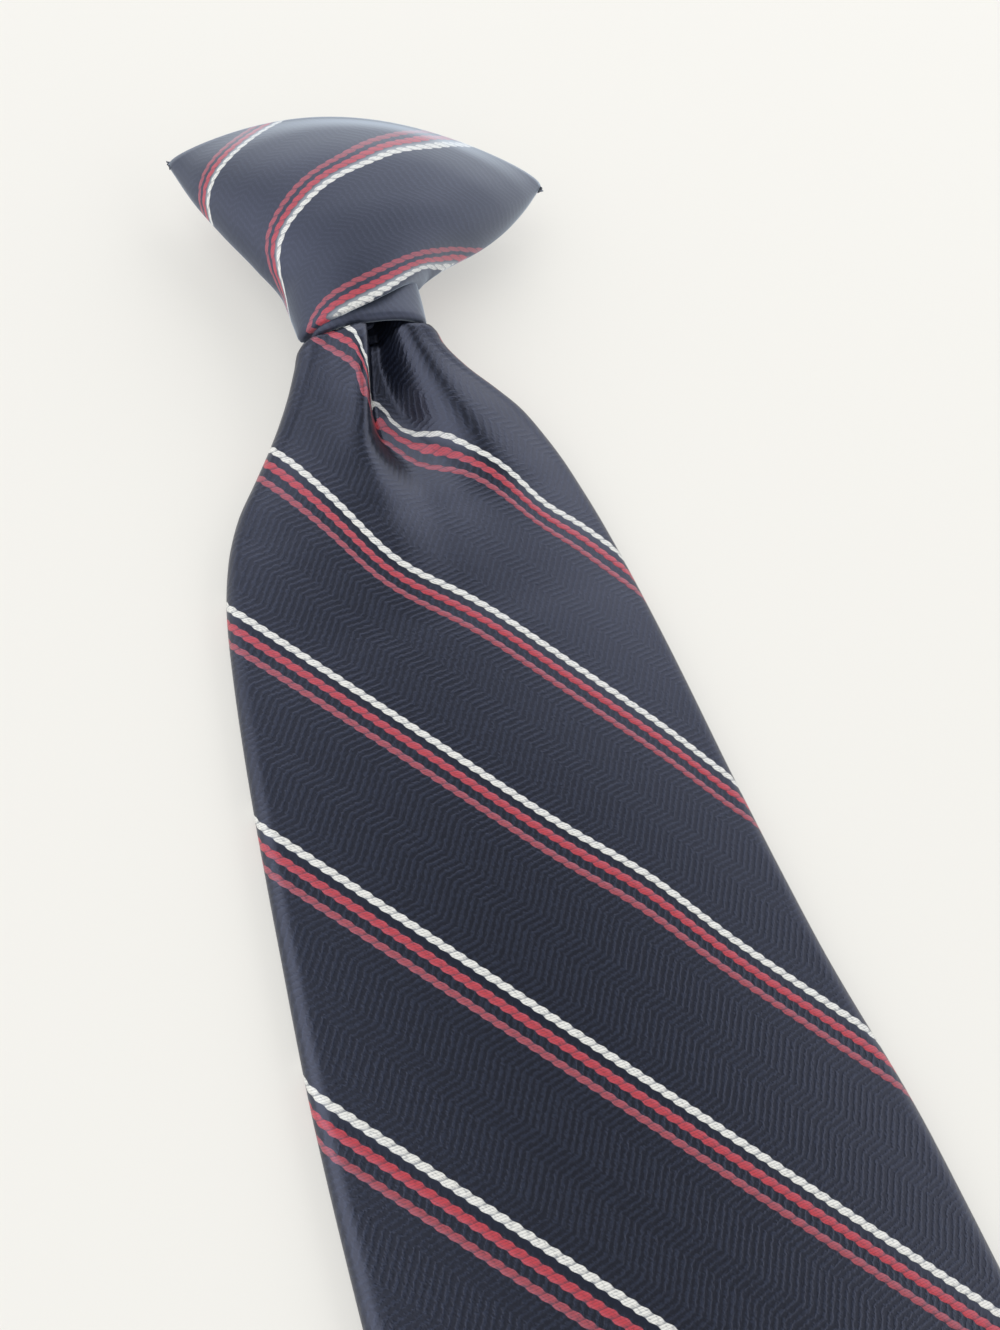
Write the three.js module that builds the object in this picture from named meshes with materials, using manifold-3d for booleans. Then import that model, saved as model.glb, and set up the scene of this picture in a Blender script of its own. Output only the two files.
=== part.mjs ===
// Clip-on tie: a ready-made knot on a folded cloth blade, with a spring clip at the back of the knot.
// Millimetres. The tie lies face up on a flat surface at z = 0 with its point towards -Y.
// The origin is on that surface, at the middle of the tie's length and width.
// While the pieces are made, y = 0 is the seat, the line where the blade comes out of the knot.
import * as THREE from "three";
import { mergeVertices } from "three/addons/utils/BufferGeometryUtils.js";
import Module from "manifold-3d";

const wasm = await Module();
wasm.setup();

// Overall sizes of the blade.
const bladeLength = 465;
const bladeWidth = 92;
const pointLength = 46;
const bladeThickness = 4.2;
const clothWall = 1.2;

// The gathered top of the blade, where it passes through the knot.
const neckWidth = 16;
const neckThickness = 6;
const neckLift = 6.9;
const neckOffset = 3.0;
const neckDepth = 12;

// The knot.
const knotWidth = 65;
const knotHeight = 46;
const knotPuff = 21;
const knotBack = 4;
const knotRim = 9.8;
const bandWall = 1.1;
const bandLength = 17;
const flapWall = 1.4;

// The clip.
const clipWidth = 15;
const clipLength = 30;
const clipWire = 0.9;
const clipGap = 1.9;
const clipTurn = THREE.MathUtils.degToRad(-12);
const clipAcross = 8.5;
const clipUp = 21;

// The space left between neighbouring pieces.
const gap = 0.3;

// How far the inner wrap reaches over the blade at the seat, how much it widens upwards,
// how round the knot's top edge is, and how wide the seam behind the blade stands open.
const seatOverhang = 0.6;
const bandFlare = 1.5;
const topRound = 2.0;
const seamWidth = 0.6;

// How finely the round and curved faces are divided.
const rimSteps = 4;
const frontSteps = 20;
const backSteps = 4;
const knotSteps = 16;
const bandSteps = 12;

// Blade sections from the seat down through the gathers. Distances down are shares of the blade's width, and
// left and right are shares of half that width. lift, the height of the back, is a share of the neck's lift.
// rim is the radius of the folded edge, crown the rise of the front's middle and fold the height of the pleat
// beside the dimple, all as shares of the neck's thickness. dent is the dimple's depth as a share of the height
// that the front has there.
const gatherRows = [
  { down: 0.020, left: -0.198, right: 0.306, lift: 0.884, rim: 0.550, crown: 0.167, fold: 0.233, dent: 0.60 },
  { down: 0.045, left: -0.223, right: 0.330, lift: 0.710, rim: 0.550, crown: 0.233, fold: 0.367, dent: 0.64 },
  { down: 0.087, left: -0.270, right: 0.400, lift: 0.507, rim: 0.517, crown: 0.333, fold: 0.333, dent: 0.60 },
  { down: 0.130, left: -0.324, right: 0.490, lift: 0.348, rim: 0.483, crown: 0.433, fold: 0.233, dent: 0.54 },
  { down: 0.174, left: -0.385, right: 0.562, lift: 0.217, rim: 0.467, crown: 0.500, fold: 0.117, dent: 0.42 },
  { down: 0.217, left: -0.450, right: 0.606, lift: 0.130, rim: 0.450, crown: 0.517, fold: 0.050, dent: 0.26 },
  { down: 0.283, left: -0.545, right: 0.652, lift: 0.043, rim: 0.433, crown: 0.500, fold: 0.000, dent: 0.14 },
  { down: 0.348, left: -0.609, right: 0.681, lift: 0.000, rim: 0.417, crown: 0.433, fold: 0.000, dent: 0.06 },
  { down: 0.435, left: -0.660, right: 0.706, lift: 0.000, rim: 0.383, crown: 0.333, fold: 0.000, dent: 0.00 },
];

// Blade sections of the flat part. Distances down are shares of the blade's length, and crown is a share of
// the blade's thickness.
const tailRows = [
  { down: 0.108, left: -0.699, right: 0.729, crown: 0.357 },
  { down: 0.140, left: -0.743, right: 0.746, crown: 0.238 },
  { down: 0.183, left: -0.789, right: 0.759, crown: 0.167 },
  { down: 0.237, left: -0.836, right: 0.790, crown: 0.119 },
  { down: 0.302, left: -0.866, right: 0.866, crown: 0.095 },
  { down: 0.431, left: -0.910, right: 0.910, crown: 0.095 },
  { down: 0.647, left: -0.960, right: 0.960, crown: 0.095 },
  { down: 0.900, left: -1.000, right: 1.000, crown: 0.095 },
];

// The dimple's line down the front: its place across, and how far it spreads to either side of that line.
// Distances down are shares of the blade's width and the rest are shares of the neck's width.
const dimpleRows = [
  { down: -0.140, across: 0.225, toLeft: 0.163, toRight: 0.188 },
  { down: 0.000, across: 0.269, toLeft: 0.131, toRight: 0.163 },
  { down: 0.050, across: 0.263, toLeft: 0.144, toRight: 0.200 },
  { down: 0.095, across: 0.269, toLeft: 0.213, toRight: 0.250 },
  { down: 0.140, across: 0.325, toLeft: 0.313, toRight: 0.300 },
  { down: 0.190, across: 0.425, toLeft: 0.438, toRight: 0.375 },
  { down: 0.270, across: 0.475, toLeft: 0.563, toRight: 0.531 },
  { down: 0.400, across: 0.500, toLeft: 0.750, toRight: 0.750 },
];

// Knot sections from the mouth, where the blade comes out, to the top edge.
// Each runs from a left point to a right point, bowed towards the top by arch. Places across are shares of the
// knot's width and places up are shares of its height. front and back are shares of the height of the knot's
// front above the rim and of the depth of its back below the rim.
const knotRows = [
  { leftX: -0.130, leftY: 0.000, rightX: 0.255, rightY: 0.210, arch: -0.058, front: 0.56, back: 0.25 },
  { leftX: -0.132, leftY: 0.163, rightX: 0.345, rightY: 0.268, arch: 0.000, front: 0.80, back: 0.50 },
  { leftX: -0.171, leftY: 0.326, rightX: 0.440, rightY: 0.322, arch: 0.050, front: 0.95, back: 0.85 },
  { leftX: -0.221, leftY: 0.489, rightX: 0.526, rightY: 0.392, arch: 0.100, front: 1.00, back: 1.00 },
  { leftX: -0.264, leftY: 0.652, rightX: 0.617, rightY: 0.492, arch: 0.142, front: 0.86, back: 0.85 },
  { leftX: -0.292, leftY: 0.822, rightX: 0.703, rightY: 0.609, arch: 0.170, front: 0.46, back: 0.50 },
];

// A smooth curve through one column of a table, with no overshoot between rows.
function columnCurve(rows, placeName, columnName) {
  const xs = rows.map((row) => row[placeName]);
  const ys = rows.map((row) => row[columnName]);
  const slopes = [];
  for (let i = 0; i + 1 < xs.length; i += 1) {
    slopes.push((ys[i + 1] - ys[i]) / (xs[i + 1] - xs[i]));
  }
  const tangents = xs.map((_, i) => {
    if (i === 0) {
      return slopes[0];
    }
    if (i === xs.length - 1) {
      return slopes[i - 1];
    }
    if (slopes[i - 1] * slopes[i] <= 0) {
      return 0;
    }
    return (2 * slopes[i - 1] * slopes[i]) / (slopes[i - 1] + slopes[i]);
  });
  return (x) => {
    if (x <= xs[0]) {
      return ys[0];
    }
    if (x >= xs[xs.length - 1]) {
      return ys[ys.length - 1];
    }
    let i = 0;
    while (x > xs[i + 1]) {
      i += 1;
    }
    const span = xs[i + 1] - xs[i];
    const t = (x - xs[i]) / span;
    const rise = ys[i + 1] - ys[i];
    return (
      ys[i] +
      rise * t * t * (3 - 2 * t) +
      span * t * (1 - t) * (tangents[i] * (1 - t) - tangents[i + 1] * t)
    );
  };
}

// Closed rings of equal length, one after another, make a solid with a flat end at the first and the last.
// Each ring starts with its upper chain, left to right, and goes on with its lower chain, right to left.
function ringSolid(rings, upperCount) {
  const count = rings[0].length;
  const positions = [];
  const indices = [];
  for (const ring of rings) {
    for (const point of ring) {
      positions.push(point.x, point.y, point.z);
    }
  }
  for (let r = 0; r + 1 < rings.length; r += 1) {
    for (let i = 0; i < count; i += 1) {
      const a = r * count + i;
      const b = r * count + ((i + 1) % count);
      const c = a + count;
      const d = b + count;
      indices.push(a, b, d, a, d, c);
    }
  }
  closeEnd(rings[0], 0, upperCount, indices, false);
  closeEnd(rings[rings.length - 1], (rings.length - 1) * count, upperCount, indices, true);
  return solidFrom(positions, indices);
}

// The end of a ring solid: a strip of triangles between the ring's upper and lower chains.
function closeEnd(ring, first, upperCount, indices, reversed) {
  const last = ring.length - 1;
  let upper = 0;
  let lower = last;
  while (upper < upperCount - 1 || lower > upperCount) {
    const upperNext = upper < upperCount - 1 ? ring[upper + 1].x : Infinity;
    const lowerNext = lower > upperCount ? ring[lower - 1].x : Infinity;
    let triangle;
    if (upperNext <= lowerNext) {
      triangle = [upper, lower, upper + 1];
      upper += 1;
    } else {
      triangle = [upper, lower, lower - 1];
      lower -= 1;
    }
    const [a, b, c] = triangle.map((i) => first + i);
    if (reversed) {
      indices.push(a, c, b);
    } else {
      indices.push(a, b, c);
    }
  }
}

// A solid from positions and triangles, turned the right way out.
function solidFrom(positions, indices) {
  const geometry = new THREE.BufferGeometry();
  geometry.setAttribute("position", new THREE.BufferAttribute(new Float32Array(positions), 3));
  geometry.setIndex(indices);
  return geometrySolid(geometry);
}

function geometrySolid(geometry) {
  const bare = geometry.clone();
  bare.deleteAttribute("normal");
  bare.deleteAttribute("uv");
  const merged = mergeVertices(bare, 1e-5);
  const triangles = new Uint32Array(merged.index.array);
  if (signedVolume(merged) < 0) {
    for (let i = 0; i < triangles.length; i += 3) {
      [triangles[i + 1], triangles[i + 2]] = [triangles[i + 2], triangles[i + 1]];
    }
  }
  const mesh = new wasm.Mesh({
    numProp: 3,
    vertProperties: new Float32Array(merged.attributes.position.array),
    triVerts: triangles,
  });
  return new wasm.Manifold(mesh);
}

function signedVolume(geometry) {
  const position = geometry.attributes.position;
  const a = new THREE.Vector3();
  const b = new THREE.Vector3();
  const c = new THREE.Vector3();
  let total = 0;
  for (let i = 0; i < geometry.index.count; i += 3) {
    a.fromBufferAttribute(position, geometry.index.getX(i));
    b.fromBufferAttribute(position, geometry.index.getX(i + 1));
    c.fromBufferAttribute(position, geometry.index.getX(i + 2));
    total += a.dot(b.cross(c)) / 6;
  }
  return total;
}

function solidGeometry(solid) {
  const mesh = solid.getMesh();
  const geometry = new THREE.BufferGeometry();
  geometry.setAttribute("position", new THREE.BufferAttribute(new Float32Array(mesh.vertProperties), 3));
  geometry.setIndex(Array.from(mesh.triVerts));
  return geometry;
}

// All blade sections in one table of millimetres, measured down from the seat.
const halfWidth = bladeWidth / 2;
const neckRim = neckThickness / 2;
const neckSections = [-neckDepth, -0.25 * neckDepth, 0.008 * bladeWidth].map((down) => ({
  down,
  left: neckOffset - neckWidth / 2,
  right: neckOffset + neckWidth / 2,
  lift: neckLift,
  rim: neckRim * 0.93,
  crown: neckThickness * 0.07,
  fold: 0,
  dent: 0.3,
}));
const gatherSections = gatherRows.map((row) => ({
  ...row,
  down: row.down * bladeWidth,
  left: row.left * halfWidth,
  right: row.right * halfWidth,
  lift: row.lift * neckLift,
  rim: row.rim * neckThickness,
  crown: row.crown * neckThickness,
  fold: row.fold * neckThickness,
}));
const tailSections = tailRows.map((row) => ({
  ...row,
  down: row.down * bladeLength,
  left: row.left * halfWidth,
  right: row.right * halfWidth,
  lift: 0,
  rim: bladeThickness / 2,
  crown: row.crown * bladeThickness,
  fold: 0,
  dent: 0,
}));
const sections = [...neckSections, ...gatherSections, ...tailSections];
const bladeAt = Object.fromEntries(
  ["left", "right", "lift", "rim", "crown", "fold", "dent"].map((name) => [
    name,
    columnCurve(sections, "down", name),
  ]),
);
const dimpleSections = dimpleRows.map((row) => ({
  down: row.down * bladeWidth,
  across: row.across * neckWidth,
  toLeft: row.toLeft * neckWidth,
  toRight: row.toRight * neckWidth,
}));
const dimpleAt = Object.fromEntries(
  ["across", "toLeft", "toRight"].map((name) => [name, columnCurve(dimpleSections, "down", name)]),
);

// The height of the blade's front at a place across a section.
function frontHeight(x, down) {
  const left = bladeAt.left(down);
  const right = bladeAt.right(down);
  const rim = bladeAt.rim(down);
  const crown = bladeAt.crown(down);
  const middle = (left + right) / 2;
  const share = Math.min(1, Math.abs(x - middle) / ((right - left) / 2 - rim));
  const plain = 2 * rim + crown * (1 - share * share);
  const across = dimpleAt.across(down);
  const pleat = (x - (across - 1.5 * dimpleAt.toLeft(down))) / (1.3 * dimpleAt.toLeft(down));
  const fold = bladeAt.fold(down) * Math.exp(-pleat * pleat);
  const side = x < across ? dimpleAt.toLeft(down) : dimpleAt.toRight(down);
  const offset = Math.abs(x - across) / side;
  const dent = bladeAt.dent(down) * plain * Math.exp(-(offset ** 2.6));
  const edge = 1 - share ** 6;
  return bladeAt.lift(down) + plain + (fold - dent) * edge;
}

// One blade section. inset moves its faces into the cloth, or out of it where inset is negative.
// slope bends the section's two halves back from the point, and thin flattens it towards its middle height.
function bladeRing(down, inset, slope, thin) {
  const rim = bladeAt.rim(down);
  const left = bladeAt.left(down) + rim;
  const right = bladeAt.right(down) - rim;
  const middle = bladeAt.lift(down) + rim;
  const radius = rim - inset;
  const points = [];
  const put = (x, height) => {
    points.push(new THREE.Vector3(x, -down + slope * Math.abs(x), middle + height * thin));
  };
  const turn = (x, from, step) => {
    const angle = from - (Math.PI / 2) * (step / rimSteps);
    put(x + radius * Math.cos(angle), radius * Math.sin(angle));
  };
  for (let i = 0; i < rimSteps; i += 1) {
    turn(left, Math.PI, i);
  }
  for (let i = 0; i <= frontSteps; i += 1) {
    const x = left + ((right - left) * i) / frontSteps;
    put(x, heightAway(x, left, right, down, inset) - middle);
  }
  for (let i = 1; i <= rimSteps; i += 1) {
    turn(right, Math.PI / 2, i);
  }
  const upperCount = points.length;
  for (let i = 1; i < rimSteps; i += 1) {
    turn(right, 0, i);
  }
  for (let i = 0; i <= backSteps; i += 1) {
    put(right + ((left - right) * i) / backSteps, -radius);
  }
  for (let i = 1; i < rimSteps; i += 1) {
    turn(left, -Math.PI / 2, i);
  }
  return { points, upperCount };
}

// The height of a face that keeps the distance inset from the front everywhere, also at steep places.
function heightAway(x, left, right, down, inset) {
  const reach = Math.abs(inset);
  const sign = Math.sign(inset);
  let height = frontHeight(x, down) - inset;
  for (let k = -4; k <= 4; k += 1) {
    const aside = Math.min(right, Math.max(left, x + (reach * k) / 4));
    const drop = Math.sqrt(Math.max(0, reach * reach - (aside - x) ** 2));
    const other = frontHeight(aside, down) - sign * drop;
    height = sign > 0 ? Math.min(height, other) : Math.max(height, other);
  }
  return height;
}

// Where the blade's rings stand, measured down from the seat.
const gatherStations = [0.008, 0.013, 0.02, 0.031, 0.045, 0.06, 0.076, 0.092, 0.108, 0.124, 0.141, 0.158, 0.178,
  0.2, 0.225, 0.255, 0.29, 0.33, 0.38, 0.435].map((share) => share * bladeWidth);
const tailStations = [0.108, 0.14, 0.183, 0.237, 0.31, 0.43, 0.6, 0.74].map((share) => share * bladeLength);
const stations = [-neckDepth, -0.25 * neckDepth, ...gatherStations, ...tailStations];

// The envelope of the blade, from before its neck end to its point.
function bladeSolid(inset, start) {
  const rings = stations.map((down) => bladeRing(down, inset, 0, 1));
  rings.unshift(bladeRing(start, inset, 0, 1));
  const bendFrom = stations[stations.length - 1];
  const turn = pointLength / halfWidth;
  const hemRound = bladeThickness * 0.4;
  const hem = bladeLength - hemRound - Math.max(inset, 0) * Math.hypot(1, turn);
  for (let i = 1; i <= 5; i += 1) {
    const share = i / 5;
    rings.push(bladeRing(bendFrom + (hem - bendFrom) * share, inset, turn * share, 1));
  }
  for (const degrees of [35, 65, 85]) {
    const angle = THREE.MathUtils.degToRad(degrees);
    rings.push(bladeRing(hem + hemRound * Math.sin(angle), inset, turn, Math.cos(angle)));
  }
  return ringSolid(rings.map((ring) => ring.points), rings[0].upperCount);
}

// Room round the top of the blade for the cloth that goes over it.
function neckRoom() {
  const nearSeat = stations.filter((down) => down < bladeWidth * 0.3);
  const rings = nearSeat.map((down) => bladeRing(down, -gap, 0, 1));
  rings.unshift(bladeRing(-neckDepth - 3 * gap, -gap, 0, 1));
  return ringSolid(rings.map((ring) => ring.points), rings[0].upperCount);
}

// The seam up the middle of the back, where the folded sides of the cloth meet.
function seamRoom() {
  const rings = [-neckDepth - 1, ...stations, bladeLength - 0.3 * pointLength].map((down) => {
    const x = (bladeAt.left(down) + bladeAt.right(down)) / 2;
    const low = bladeAt.lift(down) - 1;
    const high = bladeAt.lift(down) + clothWall + gap;
    const half = seamWidth / 2;
    return [
      new THREE.Vector3(x - half, -down, high),
      new THREE.Vector3(x + half, -down, high),
      new THREE.Vector3(x + half, -down, low),
      new THREE.Vector3(x - half, -down, low),
    ];
  });
  return ringSolid(rings, 2);
}

// Knot sections in millimetres, found at any share of the way from the mouth to the top edge.
const knotSections = knotRows.map((row, i) => ({
  share: i / (knotRows.length - 1),
  leftX: row.leftX * knotWidth,
  rightX: row.rightX * knotWidth,
  leftY: row.leftY * knotHeight,
  rightY: row.rightY * knotHeight,
  arch: row.arch * knotHeight,
  front: row.front * (knotPuff - knotRim),
  back: row.back * (knotRim - knotBack),
}));
const knotAt = Object.fromEntries(
  ["leftX", "leftY", "rightX", "rightY", "arch", "front", "back"].map((name) => [
    name,
    columnCurve(knotSections, "share", name),
  ]),
);

// One knot section: the front chain from the left corner to the right one, and the flatter back chain.
// extra bows it further towards the top, shift moves it up or down, and thin flattens it.
function knotRing(share, inset, extra, shift, thin) {
  const left = new THREE.Vector2(knotAt.leftX(share), knotAt.leftY(share) + shift);
  const right = new THREE.Vector2(knotAt.rightX(share), knotAt.rightY(share) + shift);
  const trim = (inset * 2.2) / left.distanceTo(right);
  const front = (knotAt.front(share) - inset) * thin;
  const back = (knotAt.back(share) - inset) * thin;
  const points = [];
  const put = (t, height) => {
    const along = trim + (1 - 2 * trim) * t;
    const bow = (knotAt.arch(share) + extra) * Math.sin(Math.PI * along) ** 1.1;
    const place = left.clone().lerp(right, along);
    points.push(new THREE.Vector3(place.x, place.y + bow, knotRim + height));
  };
  for (let i = 0; i <= knotSteps; i += 1) {
    const t = 0.5 - 0.5 * Math.cos((Math.PI * i) / knotSteps);
    put(t, front * (1 - Math.abs(2 * t - 1) ** 2.3) ** 0.5);
  }
  for (let i = knotSteps - 1; i > 0; i -= 1) {
    const t = 0.5 - 0.5 * Math.cos((Math.PI * i) / knotSteps);
    put(t, -back * (1 - Math.abs(2 * t - 1) ** 2.5) ** 0.7);
  }
  return points;
}

// The knot's outer wrap, a pocket that is open at the mouth and rounded over at its top edge.
function makeFlap() {
  const shares = [0, 0.08, 0.2, 0.33, 0.46, 0.59, 0.72, 0.83, 0.92, 1];
  const outside = shares.map((share) => knotRing(share, 0, 0, 0, 1));
  for (const degrees of [30, 60, 85]) {
    const angle = THREE.MathUtils.degToRad(degrees);
    outside.push(knotRing(1, 0, topRound * Math.sin(angle), 0, Math.cos(angle)));
  }
  const hollow = [knotRing(0, flapWall, 0, -2 * flapWall, 1)];
  for (const share of [0, 0.12, 0.3, 0.5, 0.7, 0.86, 0.96]) {
    hollow.push(knotRing(share, flapWall, 0, 0, 1));
  }
  const pocket = ringSolid(outside, knotSteps + 1).subtract(ringSolid(hollow, knotSteps + 1));
  return pocket.subtract(bandSolid(gap)).subtract(neckRoom());
}

// The knot's inner wrap as a full tube. grow moves its outside outwards.
function bandSolid(grow) {
  const rings = [];
  for (let i = 0; i <= 4; i += 1) {
    const share = i / 4;
    const up = -seatOverhang - grow + (bandLength + 2 * grow) * share;
    const flare = bandFlare * share * (2 - share);
    rings.push(bandRing(up, bandWall + gap + grow, flare));
  }
  return ringSolid(rings, bandSteps + 1);
}

function bandRing(up, away, flare) {
  const left = neckOffset - neckWidth / 2 - away;
  const right = neckOffset + neckWidth / 2 + away + flare;
  const low = neckLift - away;
  const high = neckLift + neckThickness + away;
  const points = [];
  for (let i = 0; i < 2 * bandSteps; i += 1) {
    const angle = Math.PI - (Math.PI * i) / bandSteps;
    const c = Math.cos(angle);
    const s = Math.sin(angle);
    const x = (left + right) / 2 + ((right - left) / 2) * Math.sign(c) * Math.abs(c) ** 0.8;
    const z = (low + high) / 2 + ((high - low) / 2) * Math.sign(s) * Math.abs(s) ** 0.8;
    points.push(new THREE.Vector3(x, up, z));
  }
  return points;
}

function makeBand() {
  const inside = [-seatOverhang - 1, bandLength / 2, bandLength + 1].map((up, i) => {
    return bandRing(up, gap, bandFlare * [0, 0.75, 1][i]);
  });
  return bandSolid(0).subtract(ringSolid(inside, bandSteps + 1)).subtract(neckRoom());
}

// The clip is a strip bent back on itself: a plate against the knot's back and a tongue below it.
function makeClip() {
  const high = 2 * clipWire + clipGap;
  const bend = high / 2;
  const outline = new THREE.Shape();
  outline.moveTo(0, 0);
  outline.lineTo(clipLength - bend, 0);
  outline.absarc(clipLength - bend, bend, bend, -Math.PI / 2, Math.PI / 2, false);
  outline.lineTo(0.15 * clipLength, high);
  outline.lineTo(0.15 * clipLength, high - clipWire);
  outline.lineTo(clipLength - bend, high - clipWire);
  outline.absarc(clipLength - bend, bend, clipGap / 2, Math.PI / 2, -Math.PI / 2, true);
  outline.lineTo(0, clipWire);
  outline.closePath();
  const options = { depth: clipWidth, bevelEnabled: false, curveSegments: 8 };
  const strip = new THREE.ExtrudeGeometry(outline, options);
  strip.translate(-clipLength / 2, 0, -clipWidth / 2);
  strip.rotateX(Math.PI / 2);
  strip.rotateZ(Math.PI / 2 + clipTurn);
  strip.translate(clipAcross, clipUp, 0);
  return geometrySolid(strip);
}

function pieceMesh(name, solid, material) {
  const mesh = new THREE.Mesh(solidGeometry(solid), new THREE.MeshStandardMaterial(material));
  mesh.name = name;
  return mesh;
}

const cloth = { color: 0x242c3f, roughness: 0.62, metalness: 0.0 };
const steel = { color: 0xb9bcc0, roughness: 0.32, metalness: 0.9 };
const bladeHollow = bladeSolid(clothWall, -neckDepth - 2);
const envelope = bladeSolid(0, -neckDepth - 0.5).subtract(bladeHollow).subtract(seamRoom());
const tie = new THREE.Group();
tie.add(pieceMesh("blade", envelope, cloth));
tie.add(pieceMesh("knot_band", makeBand(), cloth));
tie.add(pieceMesh("knot_flap", makeFlap(), cloth));
tie.add(pieceMesh("clip", makeClip(), steel));

// The origin goes to the middle of the finished length and width.
const bounds = new THREE.Box3().setFromObject(tie);
const middle = bounds.getCenter(new THREE.Vector3());
for (const mesh of tie.children) {
  mesh.geometry.translate(-middle.x, -middle.y, 0);
}
export default tie;
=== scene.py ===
# %% [markdown]
# # A striped clip-on tie
#
# The tie lies face up on a pale floor with its point towards -Y. Its cloth is cut on the bias, so the
# stripes run across it at a slant. A picture of stripes could be laid over the finished shape from above,
# but it would smear on every fold. So each cloth piece here is one sheet that carries its own cloth
# coordinates: how far a spot lies across the stripes and along them. The stripes, ropes and ribs are drawn
# from those two numbers, and they follow each fold as woven cloth does.
#
# Lengths are in millimetres from the seat, the line where the blade comes out of the knot, and turn into
# the metres of the shared frame when a mesh is made.

# %% The shared frame
import math
import random

import bpy
import bmesh
from mathutils import Matrix, Vector


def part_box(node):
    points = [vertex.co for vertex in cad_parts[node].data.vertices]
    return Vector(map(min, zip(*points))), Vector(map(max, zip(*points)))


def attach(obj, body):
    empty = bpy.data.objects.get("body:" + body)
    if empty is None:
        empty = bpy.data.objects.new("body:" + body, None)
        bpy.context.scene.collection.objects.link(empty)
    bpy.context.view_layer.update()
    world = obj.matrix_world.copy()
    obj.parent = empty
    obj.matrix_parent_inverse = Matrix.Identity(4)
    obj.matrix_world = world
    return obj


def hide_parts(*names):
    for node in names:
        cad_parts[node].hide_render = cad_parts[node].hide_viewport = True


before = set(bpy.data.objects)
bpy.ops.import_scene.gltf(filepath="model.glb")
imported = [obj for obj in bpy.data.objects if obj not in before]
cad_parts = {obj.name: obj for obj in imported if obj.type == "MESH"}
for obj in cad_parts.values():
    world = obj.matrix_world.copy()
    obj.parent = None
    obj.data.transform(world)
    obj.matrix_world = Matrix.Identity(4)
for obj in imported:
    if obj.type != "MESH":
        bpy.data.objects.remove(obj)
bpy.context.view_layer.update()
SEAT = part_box("knot_flap")[0].y * 1000
print("the seat is", round(SEAT, 2), "mm up from the middle of the tie")

# %% [markdown]
# ## Curves through short tables
#
# Cloth has no straight edges and no sharp corners along its length. Each form could be a Bezier curve
# pulled by hand, but a curve's handles easily swing too far. Here a form is a short table of sections, and
# a smooth curve runs through every column of it without ever passing the values on either side.

# %% Smooth columns
def smooth_column(places, values):
    """A function that passes smoothly through the values at their places."""
    slopes = [(values[i + 1] - values[i]) / (places[i + 1] - places[i]) for i in range(len(places) - 1)]
    tangents = [slopes[0]]
    for before, after in zip(slopes, slopes[1:]):
        tangents.append(0.0 if before * after <= 0 else 2 * before * after / (before + after))
    tangents.append(slopes[-1])

    def at(x):
        if x <= places[0]:
            return values[0]
        if x >= places[-1]:
            return values[-1]
        i = next(k for k in range(len(slopes)) if x <= places[k + 1])
        span = places[i + 1] - places[i]
        t = (x - places[i]) / span
        rise = values[i + 1] - values[i]
        bend = span * t * (1 - t) * (tangents[i] * (1 - t) - tangents[i + 1] * t)
        return values[i] + rise * t * t * (3 - 2 * t) + bend

    return at


def columns(names, rows):
    """One smooth function for each named column, the first column being the place."""
    places = [row[0] for row in rows]
    return {name: smooth_column(places, [row[k + 1] for row in rows]) for k, name in enumerate(names)}


def ease(x, start, end):
    """0 before start, 1 after end and a soft rise between them."""
    t = min(1.0, max(0.0, (x - start) / (end - start)))
    return t * t * (3 - 2 * t)


print("a curve through 0, 1 and 3 is at", round(smooth_column((0, 1, 2), (0, 1, 3))(0.5), 2), "at a half")

# %% [markdown]
# ## The blade's shape
#
# The blade is a C of cloth: from the free edge at the back seam round the left fold, over the front, round
# the right fold and back to the seam. Its top is gathered into the knot, with a deep dimple just right of
# the middle whose left side is a steep pleat, and the folds widen and flatten as they go down. A cloth
# simulation could gather it too, but a tie is stitched and pressed to its form, and the dimple has to land
# where it belongs. So the folds are written down as measures of sections, as a tailor would mark them.

# %% Tables of the blade
BLADE_LENGTH = 465.0
BLADE_WIDTH = 92.0
POINT_LENGTH = 46.0
POINT_FROM = 418.5
THICKNESS = 4.2
CLOTH = 0.8
# down from the seat; the two folded edges; height of the back; radius of the folds; rise of the middle
BLADE = columns(
    ("left", "right", "lift", "rim", "crown"),
    [
        (-12.0, -5.0, 11.0, 6.9, 2.8, 0.4),
        (-3.0, -5.0, 11.0, 6.9, 2.8, 0.4),
        (0.7, -5.0, 11.0, 6.9, 2.8, 0.4),
        (1.8, -9.1, 14.1, 6.1, 3.3, 1.0),
        (4.1, -10.3, 15.2, 4.9, 3.3, 1.4),
        (8.0, -12.4, 18.4, 3.5, 3.1, 2.0),
        (12.0, -14.9, 22.5, 2.4, 2.9, 2.6),
        (16.0, -17.7, 25.9, 1.5, 2.8, 3.0),
        (20.0, -20.7, 27.9, 0.9, 2.7, 3.1),
        (26.0, -25.1, 30.0, 0.3, 2.6, 3.0),
        (32.0, -28.0, 31.3, 0.0, 2.5, 2.6),
        (40.0, -30.4, 32.5, 0.0, 2.3, 2.0),
        (50.2, -32.2, 33.5, 0.0, 2.1, 1.5),
        (65.1, -34.2, 34.3, 0.0, 2.1, 1.0),
        (85.1, -36.3, 34.9, 0.0, 2.1, 0.7),
        (110.2, -38.5, 36.3, 0.0, 2.1, 0.5),
        (140.4, -39.8, 39.8, 0.0, 2.1, 0.4),
        (200.4, -41.9, 41.9, 0.0, 2.1, 0.4),
        (300.9, -44.2, 44.2, 0.0, 2.1, 0.4),
        (POINT_FROM, -46.0, 46.0, 0.0, 2.1, 0.4),
    ],
)
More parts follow.
